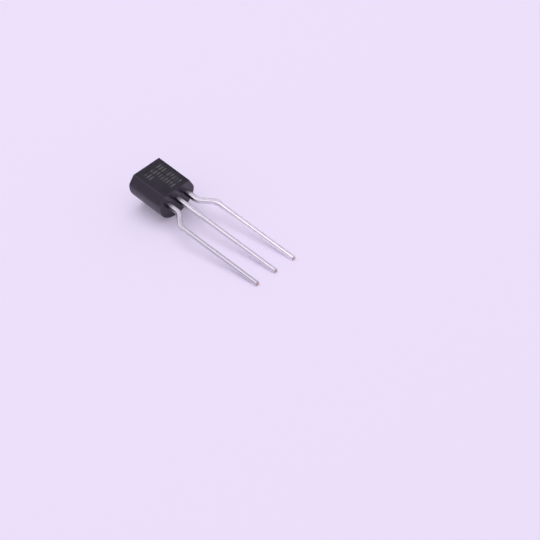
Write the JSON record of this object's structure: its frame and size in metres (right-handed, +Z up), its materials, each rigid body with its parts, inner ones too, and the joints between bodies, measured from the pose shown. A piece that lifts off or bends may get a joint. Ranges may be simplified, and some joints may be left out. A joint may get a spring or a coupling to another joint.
{
  "type": "shunt voltage regulator",
  "caption": "Half-round black moulded package with a flat face and spread tinned leads: an adjustable shunt regulator that holds a set voltage.",
  "frame": {"origin": "middle of the part's footprint, on the ground that it lies on", "axes": "+Z up from the ground, +Y from the lead tips to the body, +X across the leads from reference to cathode"},
  "size_m": [0.0056, 0.0188, 0.0043],
  "materials": {
    "moulding_compound": "satin",
    "tinned_lead": "satin",
    "silicon": "gloss",
    "silver_epoxy": "matte",
    "gold_wire": "polished"
  },
  "bodies": {
    "root": {"moulded_body": "moulding_compound", "reference_lead": "tinned_lead", "anode_lead": "tinned_lead", "cathode_lead": "tinned_lead", "regulator_die": "silicon", "die_attach": "silver_epoxy", "reference_bond_wire": "gold_wire", "anode_bond_wire": "gold_wire", "cathode_bond_wire": "gold_wire"}
  },
  "joints": []
}
